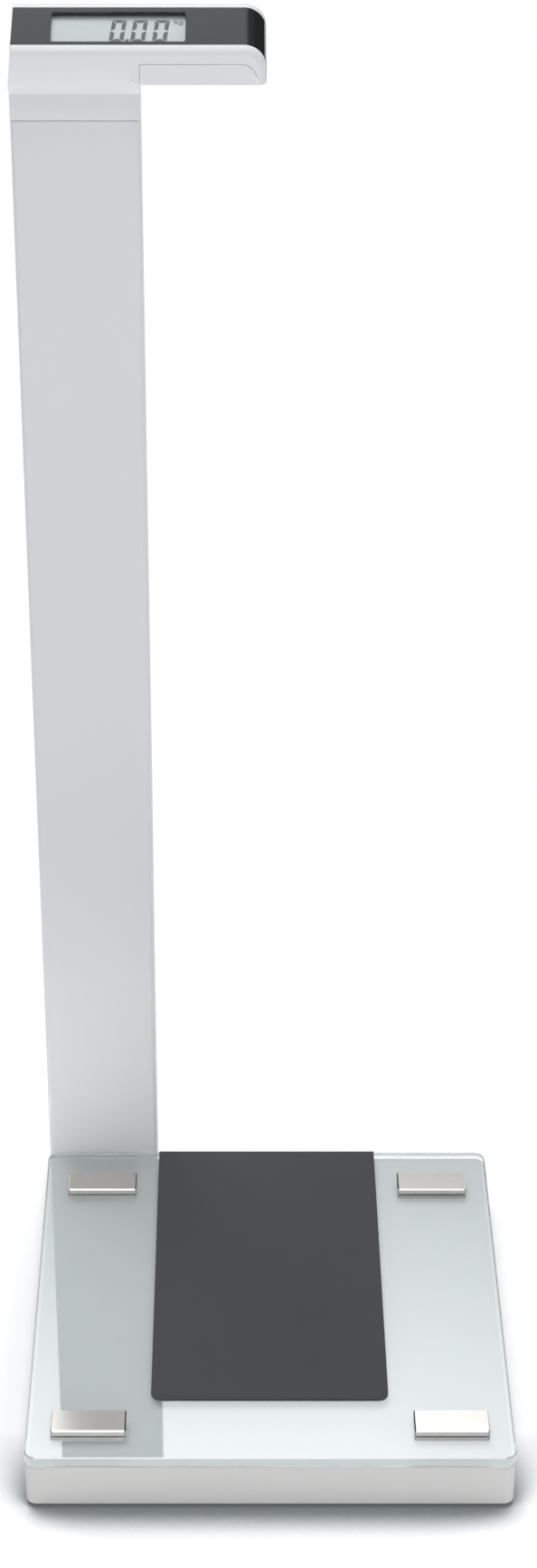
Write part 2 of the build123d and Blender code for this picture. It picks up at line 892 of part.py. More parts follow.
cover_start = column_right + cover_left
cover_end = head_right - cover_to_end
cover_top = wing_bottom + cover_rise
cover_back = head_front + cover_depth


def panel_band(grow):
    # the strip that the panel fills: over the top, round the right end and down the side
    start = panel_front - grow
    top = top_height(start)
    low = seam + panel_side_rise - grow
    inner_top = top - (panel_thickness + grow) / along.Y
    inner_right = head_right - panel_thickness - grow
    inner_radius = head_end_radius - panel_thickness - grow
    reach = (split_back + grow - start) / along.Y
    fall = reach * along.Z
    with BuildPart() as band:
        with BuildSketch(Plane.XZ.offset(-start)):
            with BuildLine():
                band_edge = Polyline(
                    (inner_right, inner_top - inner_radius),
                    (inner_right, low - fall - 5),
                    (head_right + 5, low - fall - 5),
                    (head_right + 5, top + 5),
                    (head_left - 5, top + 5),
                    (head_left - 5, inner_top),
                    (inner_right - inner_radius, inner_top),
                )
                RadiusArc(band_edge @ 1, band_edge @ 0, inner_radius)
            make_face()
        extrude(amount=reach, dir=along)
        split(bisect_by=Plane.XY.offset(low), keep=Keep.TOP)
    return band.part


def cover_block(grow):
    # the space that the battery cover takes, seen from the front, with one rounded corner
    start = head_front - 5
    with BuildPart() as block:
        with BuildSketch(Plane.XZ.offset(-start)) as block_face:
            with Locations(((cover_start + cover_end) / 2, (wing_bottom - 10 + cover_top + grow) / 2)):
                Rectangle(cover_end - cover_start + 2 * grow, cover_top + grow - wing_bottom + 10)
            round_corner = block_face.vertices().group_by(Axis.Y)[-1].sort_by(Axis.X)[-1]
            fillet(round_corner, cover_corner_radius + grow)
        extrude(amount=-(cover_back + grow - start))
    return block.part


# ---------------------------------------------------------------- housing, rear cover and panel
right_boss_x = head_right - panel_thickness - panel_ledge - boss_radius + boss_wall_lap
boss_places = [
    (head_left + boss_from_left, seam + boss_rise),
    (right_boss_x, cover_top + boss_radius + boss_cover_gap),
]
neck_screw_places = [
    (column_middle - casting_screw_side, seam + neck_screw_rise),
    (column_middle + casting_screw_side, seam + neck_screw_rise),
]
rear_screw_places = boss_places + neck_screw_places
spigot_back = column_back - column_wall - fit_clearance
board_middle = boss_places[0][0] + boss_radius + board_boss_gap + board_length / 2
board_right = board_middle + board_length / 2

panel_space = panel_band(fit_clearance)
cover_space = cover_block(0)
with BuildPart() as head_housing:
    add(outer_head)
    split(bisect_by=Plane.XZ.offset(-split_back), keep=Keep.TOP)
    add(panel_space, mode=Mode.SUBTRACT)
    add(inner_head, mode=Mode.SUBTRACT)
    # opening under the window, for the pane and the display
    with BuildSketch(panel_plane.offset(-panel_thickness)):
        with Locations(window_place):
            Rectangle(lcd_length + 2 * lcd_end_room, lcd_width + 2 * lcd_side_room)
    extrude(amount=-(panel_ledge + 1), mode=Mode.SUBTRACT)
    # bosses for the rear cover's upper screws, joined to the side walls by ribs
    with BuildSketch(Plane.XZ.offset(-split_back)):
        with Locations(*boss_places):
            Circle(boss_radius)
        rib_start = head_left + column_wall / 2
        with Locations(((rib_start + boss_places[0][0]) / 2, boss_places[0][1])):
            Rectangle(boss_places[0][0] - rib_start, 2 * boss_radius * rib_share)
    extrude(amount=boss_length)
    with BuildSketch(Plane.XZ.offset(-split_back)):
        with Locations(*boss_places):
            Circle(m3_radius + thread_clearance)
    extrude(amount=boss_length - boss_end_wall, mode=Mode.SUBTRACT)
    add(cover_space, mode=Mode.SUBTRACT)
save(head_housing.part, "head_housing")

pocket_x = head_left + switch_from_left
pocket_z = seam + switch_rise
stem_x = pocket_x - knob_travel / 2
slot_length = stem_length + knob_travel + 2 * slide_clearance
slot_width = stem_width + 2 * slide_clearance
with BuildPart() as head_rear_cover:
    add(outer_head)
    split(bisect_by=Plane.XZ.offset(-(split_back + fit_clearance)), keep=Keep.BOTTOM)
    add(inner_head, mode=Mode.SUBTRACT)
    # sunk seats and holes for the screws
    with BuildSketch(Plane.XZ.offset(-split_back)):
        with Locations(*boss_places):
            Circle(boss_radius)
    extrude(amount=-(column_back - split_back))
    with BuildSketch(Plane.XZ.offset(-split_back)):
        with Locations(*rear_screw_places):
            Circle(m3_radius + hole_clearance)
    extrude(amount=-(column_back - split_back), mode=Mode.SUBTRACT)
    with BuildSketch(Plane.XZ.offset(-column_back)):
        with Locations(*rear_screw_places):
            Circle(screw_head_radius + hole_clearance)
    extrude(amount=sunk_seat, mode=Mode.SUBTRACT)
    # pocket and slot for the unit switch
    with BuildSketch(Plane.XZ.offset(-column_back)):
        with Locations((pocket_x, pocket_z)):
            RectangleRounded(pocket_length, pocket_width, pocket_corner_radius)
    extrude(amount=pocket_depth, mode=Mode.SUBTRACT)
    with BuildSketch(Plane.XZ.offset(-column_back)):
        with Locations((pocket_x, pocket_z)):
            Rectangle(slot_length, slot_width)
    extrude(amount=column_wall, mode=Mode.SUBTRACT)
save(head_rear_cover.part, "head_rear_cover")

upper_screws = screws(
    head_seat,
    boss_places,
    -1,
    screw_head_radius,
    screw_head_height,
    m3_radius,
    boss_screw_length,
)
save(upper_screws, "rear_cover_screws")
lower_screws = screws(
    head_seat,
    neck_screw_places,
    -1,
    screw_head_radius,
    screw_head_height,
    m3_radius,
    spigot_screw_length,
)
save(lower_screws, "neck_screws")

with BuildPart() as neck_spigot:
    with BuildSketch(Plane.XY.offset(seam - spigot_drop)):
        with Locations((column_middle, column_center)):
            RectangleRounded(casting_width, casting_depth, casting_corner_radius)
        back_room = (spigot_back_wall - spigot_wall) / 2
        with Locations((column_middle, column_center - back_room)):
            Rectangle(
                casting_width - 2 * spigot_wall,
                casting_depth - spigot_wall - spigot_back_wall,
                mode=Mode.SUBTRACT,
            )
    extrude(amount=spigot_drop + spigot_top)
    with BuildSketch(Plane.XZ.offset(-spigot_back)):
        with Locations(*spigot_screw_places, *neck_screw_places):
            Circle(m3_radius + thread_clearance)
    extrude(amount=spigot_back_wall, mode=Mode.SUBTRACT)
save(neck_spigot.part, "neck_spigot")

panel_solid = panel_band(0)
with BuildPart() as display_panel:
    add(panel_solid)
    add(outer_head, mode=Mode.INTERSECT)
    with BuildSketch(panel_plane):
        with Locations(window_place):
            RectangleRounded(window_length, window_width, window_radius)
    extrude(amount=-panel_thickness - 1, both=True, mode=Mode.SUBTRACT)
save(display_panel.part, "display_panel")

# ---------------------------------------------------------------- display stack under the panel
with BuildPart() as window_pane:
    with BuildSketch(panel_plane.offset(-panel_thickness)):
        with Locations(window_place):
            Rectangle(window_length + 2 * pane_lap, window_width + 2 * pane_side_lap)
    extrude(amount=-pane_thickness)
save(window_pane.part, "window_pane")

with BuildPart() as lcd_module:
    with BuildSketch(panel_plane.offset(lcd_top)):
        with Locations(window_place):
            Rectangle(lcd_length, lcd_width)
    extrude(amount=-lcd_thickness)
save(lcd_module.part, "lcd_module")

post_x = (window_middle - lcd_length / 2 + frame_post_radius + 0.5, board_right - 2 * frame_post_radius)
post_y = lcd_width / 2 - frame_post_radius - frame_gap
post_places = [(x, window_shift + side * post_y) for x in post_x for side in (-1, 1)]
with BuildPart() as lcd_frame:
    with BuildSketch(panel_plane.offset(frame_top)):
        with Locations(window_place):
            Rectangle(frame_length, frame_width)
            Rectangle(lcd_length + 2 * frame_gap, lcd_width + 2 * frame_gap, mode=Mode.SUBTRACT)
    extrude(amount=-frame_height)
    with BuildSketch(panel_plane.offset(frame_bottom)):
        with Locations(window_place):
            Rectangle(frame_length, frame_width)
            Rectangle(lcd_length - 2 * frame_shelf, lcd_width - 2 * frame_shelf - 1, mode=Mode.SUBTRACT)
    extrude(amount=lcd_bottom - frame_bottom)
    with BuildSketch(panel_plane.offset(frame_bottom)):
        with Locations(*post_places):
            Circle(frame_post_radius)
    extrude(amount=-board_gap)
    with BuildSketch(panel_plane.offset(board_top)):
        with Locations(*post_places):
            Circle(board_screw_radius + thread_clearance)
    extrude(amount=board_gap + lcd_bottom - frame_bottom, mode=Mode.SUBTRACT)
save(lcd_frame.part, "lcd_frame")

strip_x = board_right - strip_margin - strip_length / 2
strip_y = window_shift + lcd_width / 2 - strip_from_edge
with BuildPart() as lcd_connector_strip:
    with BuildSketch(panel_plane.offset(lcd_bottom)):
        with Locations((strip_x, strip_y)):
            Rectangle(strip_length, strip_width)
    extrude(amount=board_top - lcd_bottom)
save(lcd_connector_strip.part, "lcd_connector_strip")

with BuildPart() as main_board:
    with BuildSketch(panel_plane.offset(board_top)):
        with Locations((board_middle, 0)):
            Rectangle(board_length, board_width)
        with Locations(*post_places):
            Circle(board_screw_radius + hole_clearance, mode=Mode.SUBTRACT)
    extrude(amount=-board_thickness)
save(main_board.part, "main_board")

board_screw_part = screws(
    panel_plane.offset(board_bottom),
    post_places,
    -1,
    board_screw_head_radius,
    board_screw_head,
    board_screw_radius,
    board_screw_length,
)
save(board_screw_part, "main_board_screws")

with BuildPart() as cable_connector:
    with BuildSketch(panel_plane.offset(board_bottom)):
        with Locations((column_middle, 0)):
            RectangleRounded(plug_length, plug_width, plug_corner_radius)
    extrude(amount=-plug_depth)
save(cable_connector.part, "cable_connector")

# the cable leaves the junction connector, turns up inside the column and meets the board square on
cable_end = panel_plane.from_local_coords(Vector(column_middle, 0, board_bottom - plug_depth))
rise = (column_center - cable_end.Y) / along.Z
cable_turn = cable_end - panel_plane.z_dir * rise
with BuildPart() as signal_cable:
    with BuildLine() as cable_path:
        FilletPolyline(
            (column_middle, plug_back, cable_level),
            (column_middle, column_center, cable_level),
            (column_middle, column_center, cable_turn.Z),
            (cable_end.X, cable_end.Y, cable_end.Z),
            radius=cable_bend,
        )
    with BuildSketch(Plane(origin=(column_middle, plug_back, cable_level), z_dir=(0, 1, 0))):
        Circle(cable_radius)
    sweep(path=cable_path.line)
save(signal_cable.part, "signal_cable")

# ---------------------------------------------------------------- battery compartment in the wing
tray_floor = wing_bottom + cover_wall + fit_clearance
cell_center_z = tray_floor + cell_diameter / 2 + cell_floor_gap
tray_roof = tray_floor + cell_diameter + 4 * cell_floor_gap
battery_x = cover_start + battery_wall + tray_side_gap + battery_inner_length / 2
battery_y = head_front + cover_wall + tray_front_gap + battery_wall + battery_inner_width / 2
cell_row = [battery_y - (cell_diameter + cell_gap) / 2, battery_y + (cell_diameter + cell_gap) / 2]

with BuildPart() as battery_tray:
    with BuildSketch(Plane.XY.offset(tray_floor)):
        with Locations((battery_x, battery_y)):
            Rectangle(battery_inner_length + 2 * battery_wall, battery_inner_width + 2 * battery_wall)
    extrude(amount=tray_roof + battery_wall - tray_floor)
    upper_edges = battery_tray.faces().sort_by(Axis.Z)[-1].edges()
    fillet(upper_edges, tray_edge_round)
    with BuildSketch(Plane.XY.offset(tray_floor)):
        with Locations((battery_x, battery_y)):
            Rectangle(battery_inner_length, battery_inner_width)
    extrude(amount=tray_roof - tray_floor, mode=Mode.SUBTRACT)
    # flange that rests on the housing's floor behind the opening
    flange_front = battery_y + battery_inner_width / 2 + battery_wall / 2
    flange_back = split_back - 0.5
    with BuildSketch(Plane.XY.offset(wing_bottom + column_wall)):
        with Locations((battery_x, (flange_front + flange_back) / 2)):
            Rectangle(battery_inner_length, flange_back - flange_front)
    extrude(amount=2.0)
save(battery_tray.part, "battery_tray")

with BuildPart() as battery_cells:
    with BuildSketch(Plane.YZ.offset(battery_x - cell_length / 2)):
        with Locations(*[(y, cell_center_z) for y in cell_row]):
            Circle(cell_diameter / 2)
    extrude(amount=cell_length - cell_pip_height)
    fillet(battery_cells.edges().filter_by(GeomType.CIRCLE), cell_edge_round)
    with BuildSketch(Plane.YZ.offset(battery_x + cell_length / 2 - cell_pip_height)):
        with Locations(*[(y, cell_center_z) for y in cell_row]):
            Circle(cell_pip_radius)
    extrude(amount=cell_pip_height)
save(battery_cells.part, "battery_cells")

spring_room = (battery_inner_length - cell_length) / 2
with BuildPart() as battery_contacts:
    plate_x = battery_x + battery_inner_length / 2 - contact_thickness
    with BuildSketch(Plane.YZ.offset(plate_x)):
        with Locations(*[(y, cell_center_z) for y in cell_row]):
            Rectangle(contact_size, contact_size)
    extrude(amount=contact_thickness)
    with BuildSketch(Plane.YZ.offset(battery_x + cell_length / 2)):
        with Locations(*[(y, cell_center_z) for y in cell_row]):
            Rectangle(contact_tip_width, contact_tip_height)
    extrude(amount=spring_room - contact_thickness)
save(battery_contacts.part, "battery_contacts")

with BuildPart() as battery_springs:
    # folded leaf springs that press on the flat end of each cell
    wall_x = battery_x - battery_inner_length / 2
    tip_x = battery_x - cell_length / 2
    leaf_x = wall_x + contact_thickness
    with BuildSketch(Plane.XY.offset(cell_center_z - spring_height / 2)):
        for y in cell_row:
            with BuildLine():
                Polyline(
                    (wall_x, y - spring_half_width),
                    (wall_x, y + spring_half_width),
                    (leaf_x, y + spring_half_width),
                    (leaf_x, y - spring_half_width + spring_tip),
                    (tip_x, y + spring_tip),
                    (tip_x, y + 0.4 * spring_tip),
                    (leaf_x, y - spring_half_width),
                    (wall_x, y - spring_half_width),
                )
            make_face()
    extrude(amount=spring_height)
save(battery_springs.part, "battery_springs")

cover_shape = cover_block(-slide_clearance)
with BuildPart() as battery_cover:
    add(outer_head)
    add(cover_shape, mode=Mode.INTERSECT)
    with BuildSketch(Plane.XZ.offset(-(head_front + cover_wall))):
        with Locations((battery_x, wing_bottom + cover_wall + wing_length / 2)):
            Rectangle(2 * wing_length, wing_length)
    extrude(amount=-column_depth - head_overhang, mode=Mode.SUBTRACT)
    # grip ribs on the underside, cut as shallow grooves
    first_grip = cover_end - grip_from_end
    with BuildSketch(Plane.XY.offset(wing_bottom)):
        with Locations(*[(first_grip - grip_pitch * i, battery_y) for i in range(grip_count)]):
            RectangleRounded(grip_width, grip_length, grip_depth)
    extrude(amount=grip_depth, mode=Mode.SUBTRACT)
save(battery_cover.part, "battery_cover")

# ---------------------------------------------------------------- unit switch at the back of the head
switch_front = column_back - column_wall - knob_inset
with BuildPart() as unit_switch_body:
    with BuildSketch(Plane.XZ.offset(-switch_front)):
        with Locations((pocket_x, pocket_z)):
            Rectangle(switch_length, switch_width)
    extrude(amount=switch_depth)
    with BuildSketch(Plane.XZ.offset(-switch_front)):
        with Locations((pocket_x, pocket_z)):
            Rectangle(slot_length, slot_width)
    extrude(amount=stem_room, mode=Mode.SUBTRACT)
save(unit_switch_body.part, "unit_switch_body")

with BuildPart() as unit_switch_knob:
    with BuildSketch(Plane.XZ.offset(-(column_back - knob_inset))):
        with Locations((stem_x, pocket_z)):
            RectangleRounded(knob_length, knob_width, knob_corner_radius)
    extrude(amount=pocket_depth - knob_inset - knob_lift)
    with BuildSketch(Plane.XZ.offset(-(column_back - pocket_depth + knob_lift))):
        with Locations((stem_x, pocket_z)):
            Rectangle(stem_length, stem_width)
    extrude(amount=column_wall - pocket_depth + knob_inset + stem_reach)
save(unit_switch_knob.part, "unit_switch_knob")
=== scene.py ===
import math

import bmesh
import bpy
from mathutils import Matrix, Vector


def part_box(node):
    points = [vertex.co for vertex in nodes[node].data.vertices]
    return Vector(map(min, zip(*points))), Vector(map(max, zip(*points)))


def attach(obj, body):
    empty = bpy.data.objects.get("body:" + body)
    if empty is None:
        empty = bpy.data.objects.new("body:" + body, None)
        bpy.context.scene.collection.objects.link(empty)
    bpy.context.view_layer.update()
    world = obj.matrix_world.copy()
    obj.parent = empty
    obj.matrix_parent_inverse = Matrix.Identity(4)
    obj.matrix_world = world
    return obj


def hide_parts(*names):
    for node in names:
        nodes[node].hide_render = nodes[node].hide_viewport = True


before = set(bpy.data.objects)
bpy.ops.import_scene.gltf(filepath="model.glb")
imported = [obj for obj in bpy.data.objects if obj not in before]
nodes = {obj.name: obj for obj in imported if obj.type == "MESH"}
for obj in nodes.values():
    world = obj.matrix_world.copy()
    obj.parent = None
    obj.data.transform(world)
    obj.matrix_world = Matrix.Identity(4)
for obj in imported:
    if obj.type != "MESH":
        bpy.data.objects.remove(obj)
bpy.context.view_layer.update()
mm = 0.001
print("frame loaded,", len(nodes), "nodes")

shot = {
    "place": (-0.02053, -1.5905, 1.38744),
    "pitch": 31.16,     # degrees below the horizon
    "sensor": 36.0,
    "lens": 71.29,
    "shift": 0.020,
    "near": 0.05,
    "far": 50.0,
}


def setCamera():
    data = bpy.data.cameras.new("camera")
    data.sensor_width = shot["sensor"]
    data.lens = shot["lens"]
    data.shift_x = shot["shift"]
    data.clip_start = shot["near"]
    data.clip_end = shot["far"]
    camera = bpy.data.objects.new("camera", data)
    camera.location = shot["place"]
    camera.rotation_euler = (math.radians(90.0 - shot["pitch"]), 0.0, 0.0)
    bpy.context.scene.collection.objects.link(camera)
    bpy.context.scene.camera = camera


setCamera()
print("camera set")


def addNode(tree, kind, **settings):
    node = tree.nodes.new(kind)
    for name, value in settings.items():
        setattr(node, name, value)
    return node


def fill(node, **values):
    for name, value in values.items():
        node.inputs[name.replace("_", " ")].default_value = value
    return node


def newGroup(name, inputs, outputs):
    group = bpy.data.node_groups.new(name, "ShaderNodeTree")
    for label, kind, value in inputs:
        socket = group.interface.new_socket(label, in_out="INPUT", socket_type=kind)
        socket.default_value = value
    for label, kind in outputs:
        group.interface.new_socket(label, in_out="OUTPUT", socket_type=kind)
    return group, group.nodes.new("NodeGroupInput"), group.nodes.new("NodeGroupOutput")


def makeMottle():
    # a broad, faint change of colour over a surface, and one of roughness
    group, given, out = newGroup(
        "mottle",
        [
            ("Color", "NodeSocketColor", (0.5, 0.5, 0.5, 1.0)),
            ("Amount", "NodeSocketFloat", 0.05),
            ("Scale", "NodeSocketFloat", 20.0),
            ("Roughness", "NodeSocketFloat", 0.4),
            ("Spread", "NodeSocketFloat", 0.05),
        ],
        [("Color", "NodeSocketColor"), ("Roughness", "NodeSocketFloat")],
    )
    link = group.links.new
    place = group.nodes.new("ShaderNodeTexCoord")
    noise = fill(group.nodes.new("ShaderNodeTexNoise"), Detail=4.0, Roughness=0.55)
    link(place.outputs["Object"], noise.inputs["Vector"])
    link(given.outputs["Scale"], noise.inputs["Scale"])
    centred = addNode(group, "ShaderNodeMath", operation="SUBTRACT")
    centred.inputs[1].default_value = 0.5
    link(noise.outputs["Fac"], centred.inputs[0])
    lift = addNode(group, "ShaderNodeMath", operation="MULTIPLY_ADD")
    lift.inputs[2].default_value = 1.0
    link(centred.outputs[0], lift.inputs[0])
    link(given.outputs["Amount"], lift.inputs[1])
    tone = addNode(group, "ShaderNodeVectorMath", operation="SCALE")
    link(given.outputs["Color"], tone.inputs[0])
    link(lift.outputs[0], tone.inputs["Scale"])
    link(tone.outputs[0], out.inputs["Color"])
    rough = addNode(group, "ShaderNodeMath", operation="MULTIPLY_ADD")
    link(centred.outputs[0], rough.inputs[0])
    link(given.outputs["Spread"], rough.inputs[1])
    link(given.outputs["Roughness"], rough.inputs[2])
    link(rough.outputs[0], out.inputs["Roughness"])
    return group


def makeGrain():
    # the fine texture of a moulded, sprayed or printed skin, as a normal
    group, given, out = newGroup(
        "grain",
        [
            ("Scale", "NodeSocketFloat", 1500.0),
            ("Strength", "NodeSocketFloat", 0.2),
            ("Depth", "NodeSocketFloat", 0.0001),
        ],
        [("Normal", "NodeSocketVector")],
    )
    link = group.links.new
    place = group.nodes.new("ShaderNodeTexCoord")
    noise = fill(group.nodes.new("ShaderNodeTexNoise"), Detail=2.0, Roughness=0.6)
    link(place.outputs["Object"], noise.inputs["Vector"])
    link(given.outputs["Scale"], noise.inputs["Scale"])
    bump = group.nodes.new("ShaderNodeBump")
    link(noise.outputs["Fac"], bump.inputs["Height"])
    link(given.outputs["Strength"], bump.inputs["Strength"])
    link(given.outputs["Depth"], bump.inputs["Distance"])
    link(bump.outputs["Normal"], out.inputs["Normal"])
    return group


def makeBrushing():
    # straight fine lines along one axis, as left by a belt or a drawing die
    group, given, out = newGroup(
        "brushing",
        [
            ("Stretch", "NodeSocketVector", (1.0, 1.0, 1.0)),
            ("Strength", "NodeSocketFloat", 0.1),
        ],
        [("Normal", "NodeSocketVector"), ("Mask", "NodeSocketFloat")],
    )
    link = group.links.new
    place = group.nodes.new("ShaderNodeTexCoord")
    stretch = addNode(group, "ShaderNodeVectorMath", operation="MULTIPLY")
    link(place.outputs["Object"], stretch.inputs[0])
    link(given.outputs["Stretch"], stretch.inputs[1])
    noise = fill(group.nodes.new("ShaderNodeTexNoise"), Scale=1.0, Detail=3.0, Roughness=0.6)
    link(stretch.outputs[0], noise.inputs["Vector"])
    bump = fill(group.nodes.new("ShaderNodeBump"), Distance=0.0001)
    link(noise.outputs["Fac"], bump.inputs["Height"])
    link(given.outputs["Strength"], bump.inputs["Strength"])
    link(bump.outputs["Normal"], out.inputs["Normal"])
    link(noise.outputs["Fac"], out.inputs["Mask"])
    return group


def makeEdgeMask():
    # 1 on rounded-over edges and 0 on flats, where a paler colour is mixed in as a painted
    # highlight
    group, given, out = newGroup(
        "painted_highlight_mask",
        [("Radius", "NodeSocketFloat", 0.001), ("Gain", "NodeSocketFloat", 2.0)],
        [("Mask", "NodeSocketFloat")],
    )
    link = group.links.new
    rounded = addNode(group, "ShaderNodeBevel", samples=6)
    link(given.outputs["Radius"], rounded.inputs["Radius"])
    flat = group.nodes.new("ShaderNodeNewGeometry")
    meet = addNode(group, "ShaderNodeVectorMath", operation="DOT_PRODUCT")
    link(rounded.outputs["Normal"], meet.inputs[0])
    link(flat.outputs["True Normal"], meet.inputs[1])
    drop = addNode(group, "ShaderNodeMath", operation="SUBTRACT")
    drop.inputs[0].default_value = 1.0
    link(meet.outputs["Value"], drop.inputs[1])
    gain = addNode(group, "ShaderNodeMath", operation="MULTIPLY", use_clamp=True)
    link(drop.outputs[0], gain.inputs[0])
    link(given.outputs["Gain"], gain.inputs[1])
    link(gain.outputs[0], out.inputs["Mask"])
    return group


groups = {
    "mottle": makeMottle(),
    "grain": makeGrain(),
    "brushing": makeBrushing(),
    "edge": makeEdgeMask(),
}


def useGroup(tree, name, **values):
    node = tree.nodes.new("ShaderNodeGroup")
    node.node_tree = groups[name]
    return fill(node, **values)


def newMaterial(name):
    material = bpy.data.materials.new(name)
    material.use_nodes = True
    tree = material.node_tree
    return material, tree, tree.nodes["Principled BSDF"]


paintedHighlightReach = 0.0008      # how far in from an edge the painted highlight goes


def skin(name, color, rough, amount=0.04, scale=18.0, spread=0.06, grain=1500.0,
         strength=0.15, depth=0.0001, edge=0.0, paintedHighlightColor=(1.0, 1.0, 1.0), metal=0.0,
         coat=0.0, coatRough=0.1):
    # one opaque finish: mottled colour, fine grain and, where edge is set, paler edges painted as a
    # highlight
    material, tree, shader = newMaterial(name)
    mottle = useGroup(
        tree, "mottle", Color=(*color, 1.0), Amount=amount, Scale=scale, Roughness=rough,
        Spread=spread
    )
    surface = mottle.outputs["Color"]
    if edge:
        # painted highlight: the edges are mixed towards a paler colour
        mask = useGroup(tree, "edge", Radius=paintedHighlightReach, Gain=edge)
        blend = addNode(tree, "ShaderNodeMix", data_type="RGBA")
        tree.links.new(mask.outputs["Mask"], blend.inputs["Factor"])
        tree.links.new(surface, blend.inputs["A"])
        blend.inputs["B"].default_value = (*paintedHighlightColor, 1.0)
        surface = blend.outputs["Result"]
    tree.links.new(surface, shader.inputs["Base Color"])
    tree.links.new(mottle.outputs["Roughness"], shader.inputs["Roughness"])
    fine = useGroup(tree, "grain", Scale=grain, Strength=strength, Depth=depth)
    tree.links.new(fine.outputs["Normal"], shader.inputs["Normal"])
    shader.inputs["Metallic"].default_value = metal
    shader.inputs["Coat Weight"].default_value = coat
    shader.inputs["Coat Roughness"].default_value = coatRough
    return material


def dress(names, material):
    for name in names:
        for slot in nodes[name].material_slots:
            slot.material = material


def corner(stem):
    return [f"{stem}_{end}_{side}" for end in ("front", "back") for side in ("left", "right")]


stage = {
    "reach": 8.0,
    "floorColor": (0.92, 0.925, 0.93, 1.0),
    "floorRough": 0.9,
    "floorShine": 0.1,
    "floorLift": 0.08,          # makes the floor meet the white surround for the camera
    "floorBounce": 0.42,        # a floor lit from below, for the faces that look down
    "floorFade": (0.32, 0.80),  # from this far out to this far it turns into the surround
    "paintedShadowReach": 0.06,          # how far the painted shadow reaches where the object stands close over the floor
    "paintedShadowSamples": 12,
    "paintedShadowSpan": (0.50, 0.85),
    # colour of the painted shadow on the floor at its darkest
    "paintedShadowColor": (0.055, 0.085, 0.105, 1.0),
    "paintedShadowFront": (-0.175, -0.10),   # the painted shadow is full in front of the platform and faint beside it
    "paintedShadowSides": 0.86,
    # what glossy faces see, from the horizon to overhead: sine of the height, then the brightness
    "sky": [(0.0, 0.47), (0.60, 0.47), (0.70, 2.5), (0.77, 2.1), (0.85, 0.95), (1.0, 0.8)],
    "skyTint": (0.955, 0.98, 1.0, 1.0),
    "skySide": (0.08, 0.34, 0.06),  # it darkens to the sides, down to this share
    "skyShift": 0.05,               # the bright part sits this far to the left
    "skyEnds": (0.45, 0.75, 0.55),  # far out to the sides it is lighter again, up to this share
    "skyRear": (0.35, 0.60),        # but not behind the object
    "fill": (0.31, 0.325, 0.36),
    "lampColor": (1.0, 0.985, 0.965),
}
lamps = [
    {"name": "back_softbox", "place": (-0.4, 1.5, 4.6), "size": 2.2, "power": 135.0,
     "aim": (0.0, 0.0, 0.4), "spread": 180.0},
    {"name": "top_softbox", "place": (0.3, -1.4, 4.5), "size": 2.0, "power": 68.0,
     "aim": (0.0, 0.0, 0.4), "spread": 180.0},
    {"name": "front_fill", "place": (0.3, -2.2, 0.40), "size": 1.2, "power": 11.0,
     "aim": (0.0, 0.0, 0.4), "spread": 180.0},
    {"name": "column_kicker", "place": (-0.10, -0.90, 0.50), "size": 0.10, "power": 0.055,
     "aim": (-0.115, 0.14, 0.08), "spread": 20.0},
]


